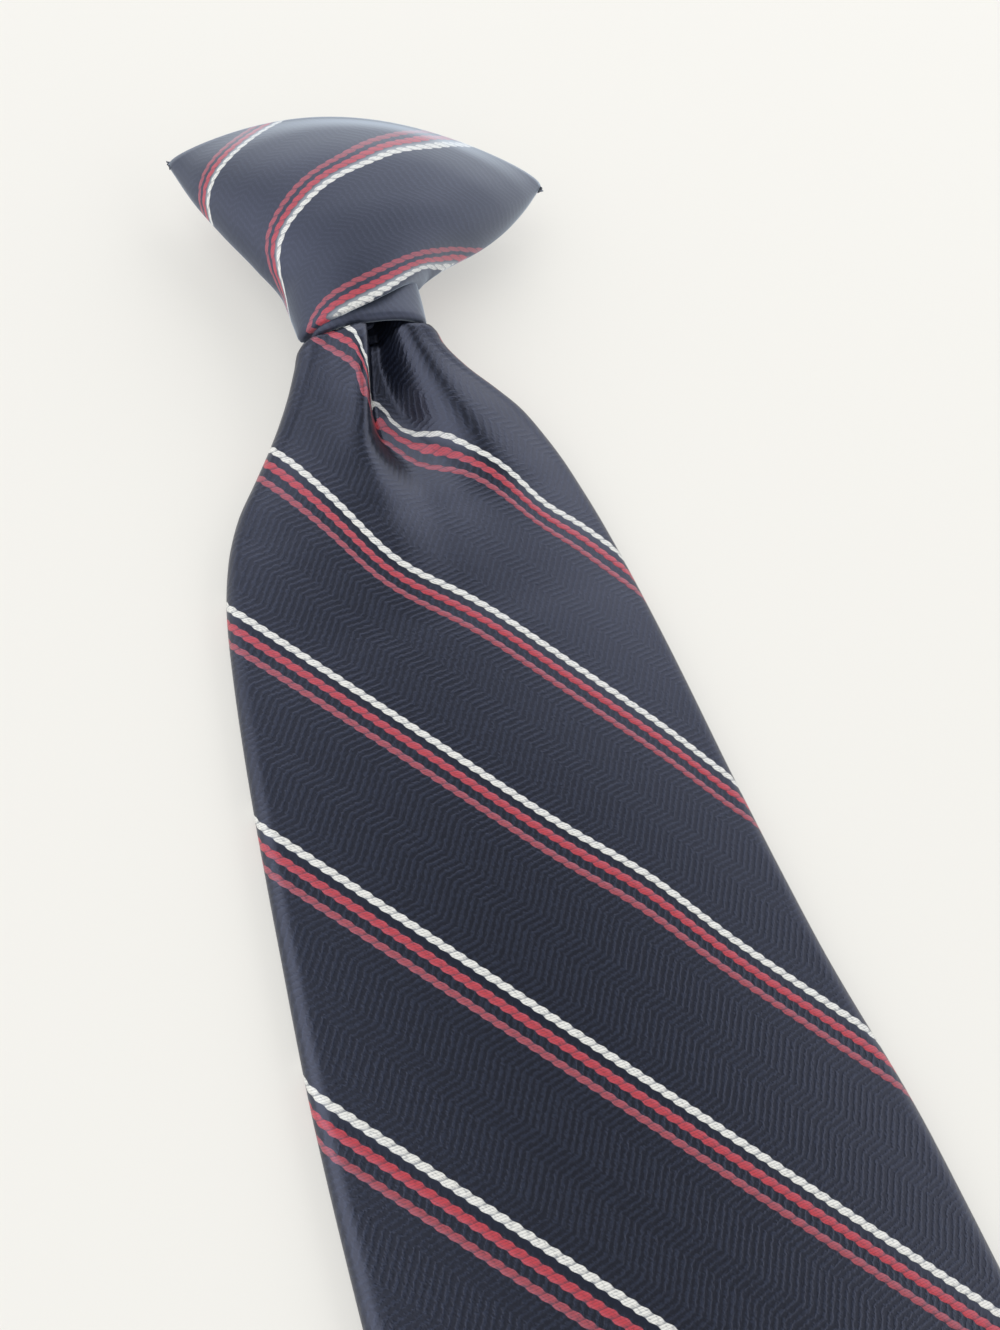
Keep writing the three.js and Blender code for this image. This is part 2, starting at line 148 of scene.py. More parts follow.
# down from the seat; the pleat's edge; the near and far side of the dimple's floor; its depth below the plain
# front; how far it takes to rise again on the right; height of the pleat
DIMPLE = columns(
    ("edge", "near", "far", "depth", "rise", "pleat"),
    [
        (-12.0, 1.5, 3.2, 3.6, 2.0, 2.2, 0.0),
        (0.0, 1.4, 3.2, 4.2, 4.5, 2.2, 0.4),
        (4.0, 0.6, 2.8, 3.8, 6.4, 3.0, 1.8),
        (8.0, -0.5, 1.9, 4.0, 6.8, 3.8, 2.0),
        (12.0, -1.6, 1.2, 4.6, 6.7, 4.4, 1.5),
        (16.0, -3.0, 1.0, 5.6, 5.8, 4.6, 0.9),
        (20.0, -4.2, 2.2, 6.8, 4.6, 5.0, 0.4),
        (24.0, -4.4, 3.6, 7.6, 3.1, 5.8, 0.1),
        (30.0, -5.0, 4.6, 8.6, 1.6, 8.0, 0.0),
        (40.0, -5.0, 4.0, 8.0, 0.4, 12.0, 0.0),
        (52.0, -5.0, 4.0, 8.0, 0.0, 12.0, 0.0),
    ],
)
PLEAT_REACH = 3.0
PLEAT_INSET = 1.0
FADE_AT_FOLDS = 6


def front_height(x, down):
    """The height of the blade's front at a place across it."""
    left, right, rim = BLADE["left"](down), BLADE["right"](down), BLADE["rim"](down)
    share = min(1.0, abs(x - (left + right) / 2) / ((right - left) / 2 - rim))
    plain = 2 * rim + BLADE["crown"](down) * (1 - share * share)
    edge = DIMPLE["edge"](down)
    dip = ease(x, edge, DIMPLE["near"](down))
    past = max(0.0, x - DIMPLE["far"](down)) / DIMPLE["rise"](down)
    dip *= math.exp(-(past ** 2.0))
    pleat = DIMPLE["pleat"](down) * math.exp(-(((x - edge + PLEAT_INSET) / PLEAT_REACH) ** 2)) * (1 - dip)
    return BLADE["lift"](down) + plain + (pleat - DIMPLE["depth"](down) * dip) * (1 - share ** FADE_AT_FOLDS)


print("the front is", round(front_height(1.0, 20.0), 1), "mm up in the dimple and",
      round(front_height(-12.0, 20.0), 1), "mm up beside it")

# %% [markdown]
# ## Cloth coordinates
#
# The real stripes are straight on the flat cut and only bend where the cloth is folded. They could be
# painted on each piece by hand, or unwrapped by Blender, which knows nothing of the fold they came from.
# Cloth doesn't stretch much, so here a spot's place in the flat cut is found by walking along the section.
# The stripes repeat every 24 mm and cross the blade at about 52 degrees. Near the knot the gathers pull the
# cloth up through the middle, and it gives a little elsewhere, which the soft pulls below add.

# %% Stripes on the flat cut
REPEAT = 24.0
SLANT_X, SLANT_Y = -0.8204, -0.6505
PHASE_AT, PHASE = 28.0, 0.652
# place across and down of each pull, its reach across and down, and how many repeats it moves the stripes
PULLS = [
    (-5.0, 39.0, 9.0, 11.0, 0.11),
    (4.0, 23.0, 5.5, 5.5, 0.13),
    (-0.2, 9.0, 1.0, 5.0, 0.17),
    (2.0, 10.5, 2.5, 4.0, -0.13),
    (-2.3, 13.0, 1.4, 3.2, 0.12),
    (9.5, 18.5, 4.0, 4.0, -0.06),
    (22.0, 34.0, 5.0, 6.0, 0.05),
    (-16.0, 17.0, 8.0, 8.0, -0.05),
    (34.0, 85.0, 7.0, 12.0, 0.04),
    (14.0, 94.0, 9.0, 12.0, -0.045),
]


def pull(x, down):
    """How far, in repeats, the gathers have pulled the stripes down at a place."""
    total = 0.0
    for px, pd, rx, rd, amount in PULLS:
        total += amount * math.exp(-(((x - px) / rx) ** 2) - (((down - pd) / rd) ** 2))
    return total


def stripe_place(cut_x, down, x):
    """Across and along the stripes, in millimetres, at a spot of the cut."""
    turns = SLANT_X * cut_x / REPEAT + SLANT_Y * (PHASE_AT - down) / REPEAT + PHASE
    across = REPEAT * (turns - pull(x, down))
    along = -SLANT_Y * cut_x - SLANT_X * down
    return across, along


print("stripes cross the middle of the blade every", round(REPEAT / abs(SLANT_Y), 1), "mm")

# %% [markdown]
# ## Meshes from rows of points
#
# All three cloth pieces are folded from flat cloth. A subdivided plane could be bent by modifiers, but each
# fold would need its own. A sheet here is a grid of rows of points, each point with its cloth coordinates
# as a UV map in metres. Points that meet at a closed end are joined, and the faces are turned outwards.

# %% Sheets
JOIN = 1e-7


def spot(x, y, z):
    """A point in millimetres from the seat, as metres in the shared frame."""
    return Vector((x / 1000, (y + SEAT) / 1000, z / 1000))


def add_piece(name, bm):
    """A new object from a finished bmesh, at the origin and in the scene."""
    mesh = bpy.data.meshes.new(name)
    bm.to_mesh(mesh)
    bm.free()
    piece = bpy.data.objects.new(name, mesh)
    bpy.context.scene.collection.objects.link(piece)
    return piece


def sheet_mesh(name, rows, cloth_rows, closed=False):
    """A smooth mesh through rows of points, with a UV map of metres on the cloth."""
    count = len(rows[0])
    bm = bmesh.new()
    uv = bm.loops.layers.uv.new("cloth")
    verts = [[bm.verts.new(spot(*p)) for p in row] for row in rows]
    for r in range(len(rows) - 1):
        for i in range(count if closed else count - 1):
            j = (i + 1) % count
            corners = [(r, i), (r, j), (r + 1, j), (r + 1, i)]
            face = bm.faces.new([verts[a][b] for a, b in corners])
            face.smooth = True
            for loop, (a, b) in zip(face.loops, corners):
                k = b if not (closed and b == 0 and i == count - 1) else count
                across, along = cloth_rows[a][k]
                loop[uv].uv = (across / 1000, along / 1000)
    bmesh.ops.remove_doubles(bm, verts=bm.verts[:], dist=JOIN)
    if bm.calc_volume(signed=True) < 0:
        bmesh.ops.reverse_faces(bm, faces=bm.faces[:])
    return add_piece(name, bm)


def walk(points):
    """The distance along a chain of points to each of them."""
    lengths = [0.0]
    for a, b in zip(points, points[1:]):
        lengths.append(lengths[-1] + math.dist(a, b))
    return lengths


def even(points, count):
    """The chain again, with its points evenly spaced along it."""
    lengths = walk(points)
    result, k = [], 0
    for i in range(count + 1):
        want = lengths[-1] * i / count
        while k < len(points) - 2 and lengths[k + 1] < want:
            k += 1
        span = lengths[k + 1] - lengths[k]
        t = (want - lengths[k]) / span if span else 0.0
        result.append(tuple(a + (b - a) * t for a, b in zip(points[k], points[k + 1])))
    return result


def give_thickness(piece, thickness):
    """Turns a sheet into cloth of a real thickness, grown inwards."""
    solidify = piece.modifiers.new("cloth thickness", "SOLIDIFY")
    solidify.thickness = thickness / 1000
    solidify.offset = -1.0
    solidify.use_even_offset = False
    solidify.use_quality_normals = True


print("four corners walk to", [round(length, 2) for length in walk([(0, 0), (1, 0), (1, 1), (0, 1)])])

# %% [markdown]
# ## The blade
#
# The long part that hangs down the shirt is a flat envelope, folded to the back and sewn there. It could be
# a box with rounded edges, but then the back would have no seam and the neck no opening. So the whole C is
# laid out as one sheet. At the back the left side's free edge is tucked under the right side's, as on a
# slip-stitched tie.

# %% One section of the blade
FRONT_POINTS = 76
FOLD_POINTS = 8
SAMPLES = 400
LAP = 4.0
TUCK = 1.1
ANCHOR_INSET = 0.5


def blade_row(down, slope, thin, lap):
    """One section of the blade: its points and their cloth coordinates."""
    rim = BLADE["rim"](down)
    left, right = BLADE["left"](down) + rim, BLADE["right"](down) - rim
    lift = BLADE["lift"](down)
    middle = lift + rim
    seam = (left + right) / 2
    across = [left + (right - left) * i / SAMPLES for i in range(SAMPLES + 1)]
    front = even([(x, front_height(x, down)) for x in across], FRONT_POINTS)

    def fold(x, first, last):
        turns = [first + (last - first) * i / FOLD_POINTS for i in range(FOLD_POINTS + 1)]
        return [(x + rim * math.cos(t), middle + rim * math.sin(t)) for t in turns]

    half = FRONT_POINTS // 2
    left_back = [(seam + lap + (left - seam - lap) * i / half, lift) for i in range(half)]
    tuck = TUCK * lap / LAP * ease(down, 30, 45)
    left_back = [(x, z + tuck * ease(x, seam - 3.5, seam - 0.5)) for x, z in left_back]
    right_back = [(right + (seam - right) * i / half, lift) for i in range(half + 1)]
    chain = left_back + fold(left, -math.pi / 2, -math.pi)[:-1] + fold(left, math.pi, math.pi / 2)[:-1]
    first = len(chain)
    chain += front
    chain += fold(right, math.pi / 2, 0)[1:] + fold(right, 0, -math.pi / 2)[1:-1] + right_back
    lengths = walk(chain)
    anchor_x = DIMPLE["edge"](down) - ANCHOR_INSET
    nearest = min(range(first, first + len(front)), key=lambda k: abs(chain[k][0] - anchor_x))
    points, cloth = [], []
    for (x, z), length in zip(chain, lengths):
        cut_x = chain[nearest][0] + length - lengths[nearest]
        points.append((x, -down + slope * abs(x), middle + (z - middle) * thin))
        cloth.append(stripe_place(cut_x, down - slope * abs(x), x))
    return points, cloth


section = blade_row(100.0, 0.0, 1.0, LAP)[0]
print("10 cm down, the cloth is", round(walk(section)[-1]), "mm round a blade",
      round(max(p[0] for p in section) - min(p[0] for p in section)), "mm wide")

# %% [markdown]
# The sections lie closest together in the gathers, where the form changes fast, and up to 4 mm apart on the
# flat part below. An even spacing would be too coarse for the dimple or heavy everywhere else. Both edges
# of the seam end where the point begins. The last sections bend into the V of the point and thin out to a
# closed hem.

# %% The blade's sheet
FIRST_STEP, NECK_STEP, STEP_GROWTH, LONGEST_STEP = 0.35, 0.55, 0.012, 4.0
POINT_ROWS = 12
HEM_SHARE = 0.4


def blade_rows():
    """All sections from inside the knot to the point."""
    downs = [-12.0, -8.0, -4.0, -1.0]
    step = FIRST_STEP
    while downs[-1] + step < POINT_FROM:
        downs.append(downs[-1] + step)
        if downs[-1] > 1.0:
            step = min(LONGEST_STEP, NECK_STEP + STEP_GROWTH * downs[-1])
    rows = [blade_row(down, 0.0, 1.0, LAP) for down in downs[:-1]]
    bend_from = downs[-2]
    turn = POINT_LENGTH / (BLADE_WIDTH / 2)
    hem_round = THICKNESS * HEM_SHARE
    hem = BLADE_LENGTH - hem_round
    for i in range(1, POINT_ROWS + 1):
        share = i / POINT_ROWS
        lap = LAP * (1 - ease(share, 0.5, 0.95))
        rows.append(blade_row(bend_from + (hem - bend_from) * share, turn * share, 1.0, lap))
    for degrees in (22, 45, 65, 80, 90):
        angle = math.radians(degrees)
        rows.append(blade_row(hem + hem_round * math.sin(angle), turn, max(0.0, math.cos(angle)), 0.0))
    return rows


made = blade_rows()
blade = sheet_mesh("blade_cloth", [row[0] for row in made], [row[1] for row in made])
give_thickness(blade, CLOTH)
print("blade:", len(made), "rows of", len(made[0][0]), "points")

# %% [markdown]
# ## The knot
#
# On a clip-on tie the knot is tied once and sewn. Its outer wrap is a pocket: its front is puffed, its back
# is flatter, and the two meet in sharp edges at the left and right, which run out to the two cut tips. A
# sphere could be squashed into that shape, or a cushion inflated, but neither keeps the sharp edges and the
# bowed stripes. So its sections are placed from mouth to top, each with its own left and right edge.

# %% The outer wrap's form
KNOT_WIDTH = 65.0
KNOT_HEIGHT = 46.0
KNOT_PUFF = 21.0
KNOT_BACK = 4.0
KNOT_RIM = 9.8
TURN_IN = 4.0
BOW_ROUNDING = 1.1
FRONT_ROUNDING = (2.3, 0.5)
BACK_ROUNDING = (2.5, 0.7)
# share from mouth to top; the two edges as shares of the knot's width and height; how far the section bows;
# puff of the front and depth of the back as shares
KNOT = columns(
    ("left_x", "left_y", "right_x", "right_y", "arch", "front", "back"),
    [
        (0.0, -0.130, 0.000, 0.255, 0.210, -0.058, 0.56, 0.25),
        (0.2, -0.132, 0.163, 0.345, 0.268, 0.000, 0.80, 0.50),
        (0.4, -0.171, 0.326, 0.440, 0.322, 0.050, 0.95, 0.85),
        (0.6, -0.221, 0.489, 0.526, 0.392, 0.100, 1.00, 1.00),
        (0.8, -0.264, 0.652, 0.617, 0.492, 0.142, 0.86, 0.85),
        (1.0, -0.292, 0.822, 0.703, 0.609, 0.170, 0.46, 0.50),
    ],
)


def knot_point(share, t, side, inset=0.0, extra=0.0, thin=1.0, shift=0.0):
    """A point of the knot: share from mouth to top, t from left to right, side 1 in front and -1 behind."""
    lx, ly = KNOT["left_x"](share) * KNOT_WIDTH, KNOT["left_y"](share) * KNOT_HEIGHT + shift
    rx, ry = KNOT["right_x"](share) * KNOT_WIDTH, KNOT["right_y"](share) * KNOT_HEIGHT + shift
    trim = inset * TURN_IN / math.hypot(rx - lx, ry - ly)
    along = trim + (1 - 2 * trim) * t
    bow = (KNOT["arch"](share) * KNOT_HEIGHT + extra) * math.sin(math.pi * along) ** BOW_ROUNDING
    off = abs(2 * t - 1)
    if side > 0:
        depth, (power, root) = KNOT["front"](share) * (KNOT_PUFF - KNOT_RIM), FRONT_ROUNDING
    else:
        depth, (power, root) = KNOT["back"](share) * (KNOT_RIM - KNOT_BACK), BACK_ROUNDING
    height = side * (depth - inset) * (1 - off ** power) ** root
    return lx + (rx - lx) * along, ly + (ry - ly) * along + bow, KNOT_RIM + height * thin


print("the knot's front is", round(knot_point(0.5, 0.5, 1)[2], 1), "mm above the table at its middle")

# %% [markdown]
# The wrap is pulled tight round the knot, so its stripes crowd and fan out. Cloth coordinates unwrapped
# from the finished form would run evenly and miss that. So the repeats are counted at seven places of each
# section of the front. Behind, they run back to the count of the left edge, mostly close to it, so most of
# the back is plain.

# %% Stripes of the outer wrap
EDGE_TO_EDGE = (0.0, 0.15, 0.3, 0.45, 0.6, 0.8, 1.0)
BACK_FADE = 4
# share from mouth to top; repeats of the stripes at those places from the left edge to the right edge
KNOT_STRIPES = columns(
    EDGE_TO_EDGE,
    [
        (0.0, 0.28, 0.14, 0.03, 0.00, -0.01, -0.03, -0.08),
        (0.1, 0.95, 0.36, 0.22, 0.18, 0.15, 0.11, -0.03),
        (0.2, 1.20, 0.65, 0.43, 0.34, 0.29, 0.21, 0.02),
        (0.3, 1.30, 0.91, 0.67, 0.52, 0.43, 0.32, 0.09),
        (0.45, 1.55, 1.22, 1.01, 0.81, 0.65, 0.47, 0.18),
        (0.6, 1.87, 1.56, 1.31, 1.10, 0.86, 0.61, 0.26),
        (0.8, 2.33, 2.07, 1.82, 1.38, 1.08, 0.74, 0.40),
        (1.0, 2.75, 2.50, 2.19, 1.72, 1.20, 0.84, 0.55),
    ],
)


def knot_repeats(share, turns):
    """Repeats of the stripes round one closed section, first over the front and then back behind."""
    values = [KNOT_STRIPES[place](share) for place in EDGE_TO_EDGE]
    front = smooth_column(EDGE_TO_EDGE, values)
    spread = values[0] - values[-1]
    behind = [values[-1] + spread * (1 - turn / math.pi) ** BACK_FADE for turn in reversed(turns[1:-1])]
    return [front(turn / math.pi) for turn in turns] + behind


print("at the knot's top the stripes repeat", round(KNOT_STRIPES[0.0](1.0) - KNOT_STRIPES[1.0](1.0), 1),
      "times from edge to edge")

# %% [markdown]
# The cut edge of the real wrap is hidden by turning the cloth in at the mouth, which also makes the lip
# round. A thin shell would end in a hard line there. So a few rows go round the lip and into the mouth
# before the rows of the knot itself, and a few more close the top.

# %% The outer wrap
TOP_ROUND = 2.0
KNOT_CLOTH = 0.3
LIP = 0.5
KNOT_ACROSS = 48
KNOT_ROWS = 44
KNOT_LOWEST = 0.012
IN_THE_MOUTH = (0.10, 0.03)
ALONG_X, ALONG_Y, ALONG_Z = 0.8, 0.6, 0.4


def knot_row(share, inset=0.0, extra=0.0, thin=1.0, shift=0.0):
    """One closed section of the knot, from the left edge over the front to the right edge and back."""
    turns = [math.pi * i / KNOT_ACROSS for i in range(KNOT_ACROSS + 1)]
    steps = [0.5 - 0.5 * math.cos(turn) for turn in turns]
    points = [knot_point(share, t, 1, inset, extra, thin, shift) for t in steps]
    points += [knot_point(share, t, -1, inset, extra, thin, shift) for t in reversed(steps[1:-1])]
    cloth = []
    for repeats, (x, y, z) in zip(knot_repeats(share, turns), points):
        cloth.append((REPEAT * repeats + extra + shift, ALONG_X * x + ALONG_Y * y + ALONG_Z * z))
    return points, cloth + cloth[:1]


def knot_rows():
    """Rows from the turned-in cloth inside the mouth, round the lip and up to the closed top."""
    rows = [knot_row(share, 2 * LIP) for share in IN_THE_MOUTH]
    for degrees in (20, 50, 75, 90, 120, 150):
        angle = math.radians(degrees)
        rows.append(knot_row(0.0, LIP + LIP * math.cos(angle), shift=-LIP * math.sin(angle)))
    rows += [knot_row(KNOT_LOWEST + (1 - KNOT_LOWEST) * i / KNOT_ROWS) for i in range(KNOT_ROWS + 1)]
    for degrees in (15, 30, 45, 60, 75, 88):
        angle = math.radians(degrees)
        rows.append(knot_row(1.0, 0.0, TOP_ROUND * math.sin(angle), math.cos(angle)))
    return rows


made = knot_rows()
flap = sheet_mesh("knot_outer_wrap", [row[0] for row in made], [row[1] for row in made], closed=True)
give_thickness(flap, KNOT_CLOTH)
print("knot:", len(made), "rows of", len(made[0][0]), "points")

# %% [markdown]
# The inner wrap is the turn of cloth round the gathered blade, which shows as a plain collar under the
# knot. A cylinder would be too round: the blade in it is flat. So its section is a rounded box, and its
# lower end is turned in like the lip.

# %% The inner wrap
NECK_WIDTH = 16.0
NECK_THICKNESS = 6.0
NECK_LIFT = 6.9
NECK_OFFSET = 3.0
BAND_LENGTH = 17.0
BAND_POINTS = 96
BAND_ROWS = 16
BAND_WALL, BAND_CLOTH = 1.4, 0.4
BAND_GROUND = 19.0
ROUND_ACROSS, UP_ACROSS = -0.25, 0.4
ROUND_ALONG, UP_ALONG = 0.97, 0.25
SQUARENESS = 0.8


def band_row(up, away, flare):
    """One closed section of the inner wrap."""
    left = NECK_OFFSET - NECK_WIDTH / 2 - away
    right = NECK_OFFSET + NECK_WIDTH / 2 + away + flare
    low, high = NECK_LIFT - away, NECK_LIFT + NECK_THICKNESS + away
    points = []
    for i in range(BAND_POINTS):
        angle = math.pi - 2 * math.pi * i / BAND_POINTS
        c, s = math.cos(angle), math.sin(angle)
        x = (left + right) / 2 + (right - left) / 2 * math.copysign(abs(c) ** SQUARENESS, c)
        z = (low + high) / 2 + (high - low) / 2 * math.copysign(abs(s) ** SQUARENESS, s)
        points.append((x, up, z))
    lengths = walk(points + points[:1])
    cloth = [(BAND_GROUND + ROUND_ACROSS * length + UP_ACROSS * up, ROUND_ALONG * length + UP_ALONG * up)
             for length in lengths]
    return points, cloth


def band_rows():
    """Rows from inside the lower hem, round it and up to the upper end."""
    lower, flare = -0.1, 1.5
    rows = [band_row(3.0, BAND_WALL - 2 * LIP, 0.2), band_row(0.2, BAND_WALL - 2 * LIP, 0.0)]
    for degrees in (0, 30, 60, 90, 120, 150):
        angle = math.radians(degrees)
        rows.append(band_row(lower - LIP * math.sin(angle), BAND_WALL - LIP - LIP * math.cos(angle), 0.0))
    for i in range(BAND_ROWS + 1):
        share = i / BAND_ROWS
        rows.append(band_row(lower + (BAND_LENGTH - LIP) * share, BAND_WALL, flare * share * (2 - share)))
    return rows


made = band_rows()
band = sheet_mesh("knot_inner_wrap", [row[0] for row in made], [row[1] for row in made], closed=True)
give_thickness(band, BAND_CLOTH)
print("inner wrap:", len(made), "rows of", len(made[0][0]), "points")

# %% [markdown]
# ## The clip
#
# The clip is out of sight behind the knot: one strip of spring steel bent back on itself, which grips the
# collar. Its side is drawn once as a face and extruded across to its width, which keeps the steel equally
# thick round the bend, and a bevel takes the sharpness off its edges.

# %% The clip's strip
CLIP_WIDTH, CLIP_LENGTH, CLIP_WIRE, CLIP_GAP = 15.0, 30.0, 0.9, 1.9
CLIP_TURN, CLIP_X, CLIP_Y = math.radians(-12), 8.5, 21.0
CLIP_START = 0.15 * CLIP_LENGTH
BEND_STEPS = 16
EDGE_ROUND = 0.2


def clip_outline():
    """The strip seen from its side, as one closed chain."""
    high = 2 * CLIP_WIRE + CLIP_GAP
    bend = high / 2
    end = CLIP_LENGTH - bend
    chain = [(0.0, 0.0), (end * 0.5, 0.0)]
    turns = [-math.pi / 2 + math.pi * i / BEND_STEPS for i in range(BEND_STEPS + 1)]
    chain += [(end + bend * math.cos(t), bend + bend * math.sin(t)) for t in turns]
    chain += [(CLIP_START, high), (CLIP_START, high - CLIP_WIRE)]
    chain += [(end + CLIP_GAP / 2 * math.cos(t), bend + CLIP_GAP / 2 * math.sin(t)) for t in reversed(turns)]
    chain += [(0.0, CLIP_WIRE)]
    return chain


def make_clip():
    """The strip's side, stretched across to the clip's width, with its edges rounded."""
    bm = bmesh.new()
    side = []
    for along, z in clip_outline():
        a, b = along - CLIP_LENGTH / 2, -CLIP_WIDTH / 2
        x = CLIP_X - a * math.sin(CLIP_TURN) + b * math.cos(CLIP_TURN)
        y = CLIP_Y + a * math.cos(CLIP_TURN) + b * math.sin(CLIP_TURN)
        side.append(bm.verts.new(spot(x, y, z)))
    stretched = bmesh.ops.extrude_face_region(bm, geom=[bm.faces.new(side)])
    other_side = [v for v in stretched["geom"] if isinstance(v, bmesh.types.BMVert)]
    across = Vector((math.cos(CLIP_TURN), math.sin(CLIP_TURN), 0.0)) * CLIP_WIDTH / 1000
    bmesh.ops.translate(bm, verts=other_side, vec=across)
    bmesh.ops.recalc_face_normals(bm, faces=bm.faces[:])
    piece = add_piece("clip_strip", bm)
    bevel = piece.modifiers.new("rounded edges", "BEVEL")
    bevel.width = EDGE_ROUND / 1000
    bevel.segments = 2
    bevel.limit_method = "ANGLE"
    bevel.angle_limit = math.radians(40)
    return piece


clip = make_clip()
print("clip:", len(clip.data.polygons), "faces before its edges are rounded")

# %% [markdown]
# ## Loose threads and stitches
#
# A few cut threads stick out of the knot's two tips, where the cloth is folded to a point. Hair particles
# could stand for them, but a handful of real threads is lighter and goes along with the exported mesh. Each
# is a small circle extruded from point to point of a short path, with its bends drawn from seeded dice.

# %% Loose threads at the tips
TIP_THREADS = 16
THREAD_SIDES = 6


def thread_mesh(name, paths, radius):
    """Thin round threads along short paths of points, in millimetres from the seat."""
    bm = bmesh.new()
    for path in paths:
        places = [spot(*point) for point in path]
        turn = (places[-1] - places[0]).to_track_quat("Z", "Y").to_matrix().to_4x4()
        start = Matrix.Translation(places[0]) @ turn
        ring = bmesh.ops.create_circle(bm, cap_ends=True, segments=THREAD_SIDES, radius=radius / 1000,
                                       matrix=start)
        face = ring["verts"][0].link_faces[0]
        for here, there in zip(places, places[1:]):
            grown = bmesh.ops.extrude_face_region(bm, geom=[face])["geom"]
            face = next(part for part in grown if isinstance(part, bmesh.types.BMFace))
            bmesh.ops.translate(bm, verts=face.verts[:], vec=there - here)
    bmesh.ops.recalc_face_normals(bm, faces=bm.faces[:])
    for face in bm.faces:
        face.smooth = len(face.verts) == 4
    return add_piece(name, bm)


dice = random.Random(7)
tip_paths = []
for share, t, aside, up in ((1.0, 0.0, -1.0, 0.45), (1.0, 1.0, 0.95, 0.2)):
    tip = Vector(knot_point(share, t, 1))
    for i in range(TIP_THREADS):
        root = tip + Vector((-aside * 0.9, dice.uniform(-1.1, 0.9), dice.uniform(-0.35, 0.35)))
        reach = dice.uniform(0.5, 1.0)
        bend = dice.uniform(-0.5, 0.5)
        path = []
        for k in range(4):
            share_out = k / 3
            path.append(tuple(root + Vector((aside, up, 0.05)) * reach * share_out
                              + Vector((0.0, bend, dice.uniform(-0.08, 0.08))) * share_out ** 2))
        tip_paths.append(path)
tip_threads = thread_mesh("tip_threads", tip_paths, 0.13)
print("tip threads:", len(tip_paths))

# %% [markdown]
# At the back, slip stitches hold the blade's seam, and a bar tack closes it above the point. Both are only
# short slanting or crosswise threads, so the same function makes them, and their uneven lengths are what
# makes them look sewn by hand.

# %% Stitches of the back seam
SEAM_FROM, SEAM_TO = 52.0, 385.0
TACK_FROM, TACK_STEP, TACK_THREADS = 392.0, 0.32, 9

seam_paths = []
down = SEAM_FROM
while down < SEAM_TO:
    seam = (BLADE["left"](down) + BLADE["right"](down)) / 2
    lean = dice.uniform(1.6, 2.4)
    middle = Vector((seam + dice.uniform(-0.2, 0.2), -down, 0.12))
    ways = [(-1.3, lean, 0.25), (-0.7, lean * 0.5, 0.0), (0.6, -lean * 0.5, 0.0), (1.2, -lean, 0.25)]
    seam_paths.append([tuple(middle + Vector(way)) for way in ways])
    down += dice.uniform(9.0, 12.0)
for i in range(TACK_THREADS):
    y = -TACK_FROM - i * TACK_STEP
    seam_paths.append([(-4.0 + dice.uniform(-0.2, 0.2), y, 0.2), (-2.0, y, 0.1), (2.0, y, 0.1),
                       (4.0 + dice.uniform(-0.2, 0.2), y, 0.2)])
seam_stitches = thread_mesh("seam_stitches", seam_paths, 0.12)
print("seam stitches:", len(seam_paths))

# %% [markdown]
# ## The cloth's material
#
# The real cloth is woven: a white rope, a bright red rope and a dull red rope close together, and between
# these groups a dark ground whose fine ribs change direction from band to band. A photo of it could be
# wrapped round the tie, but it would blur close up. Nodes draw it from the cloth coordinates instead, sharp
# at any distance. The class below only saves typing when nodes are added and linked.

# %% Helpers for node groups
def rgb(code):
    """A colour from its hexadecimal sRGB code."""
    parts = [int(code[i:i + 2], 16) / 255 for i in (1, 3, 5)]
    return tuple(p / 12.92 if p <= 0.04045 else ((p + 0.055) / 1.055) ** 2.4 for p in parts) + (1.0,)


class Graph:
    """Adds nodes to a tree, each fed by numbers or by other nodes' outputs."""

    def __init__(self, tree):
        self.tree = tree

    def add(self, kind, **settings):
        node = self.tree.nodes.new(kind)
        for name, value in settings.items():
            setattr(node, name, value)
        return node

    def feed(self, socket, value):
        if isinstance(value, bpy.types.NodeSocket):
            self.tree.links.new(value, socket)
        else:
            socket.default_value = value

    def math(self, operation, a, b=0.0, c=None):
        node = self.add("ShaderNodeMath", operation=operation)
        self.feed(node.inputs[0], a)
        self.feed(node.inputs[1], b)
        if c is not None:
            self.feed(node.inputs[2], c)
        return node.outputs[0]

    def rise(self, value, start, end):
        """0 below start, 1 above end, soft between."""
        node = self.add("ShaderNodeMapRange", interpolation_type="SMOOTHSTEP")
        self.feed(node.inputs["Value"], value)
        node.inputs["From Min"].default_value = start
        node.inputs["From Max"].default_value = end
        return node.outputs["Result"]

    def mix(self, factor, a, b):
        node = self.add("ShaderNodeMix", data_type="RGBA")
        self.feed(node.inputs["Factor"], factor)
        self.feed(node.inputs["A"], a)
        self.feed(node.inputs["B"], b)
        return node.outputs["Result"]

    def noise(self, place, scale, detail):
        """The strength of a noise pattern at a place."""
        node = self.add("ShaderNodeTexNoise")
        self.feed(node.inputs["Vector"], place)
        node.inputs["Scale"].default_value = scale
        node.inputs["Detail"].default_value = detail
        return node.outputs["Fac"]

    def bump(self, shader, height, strength, distance):
        """Lets a height tilt the surface that a shader sees."""
        node = self.add("ShaderNodeBump")
        node.inputs["Strength"].default_value = strength
        node.inputs["Distance"].default_value = distance
        self.feed(node.inputs["Height"], height)
        self.feed(shader.inputs["Normal"], node.outputs["Normal"])


def new_group(name, inputs, outputs):
    """An empty node group with the named sockets."""
    tree = bpy.data.node_groups.new(name, "ShaderNodeTree")
    for label, kind in inputs:
        tree.interface.new_socket(label, in_out="INPUT", socket_type=kind)
    for label, kind in outputs:
        tree.interface.new_socket(label, in_out="OUTPUT", socket_type=kind)
    return tree, Graph(tree), tree.nodes.new("NodeGroupInput"), tree.nodes.new("NodeGroupOutput")


print("middle grey is", round(rgb("#808080")[0], 3), "in linear light")

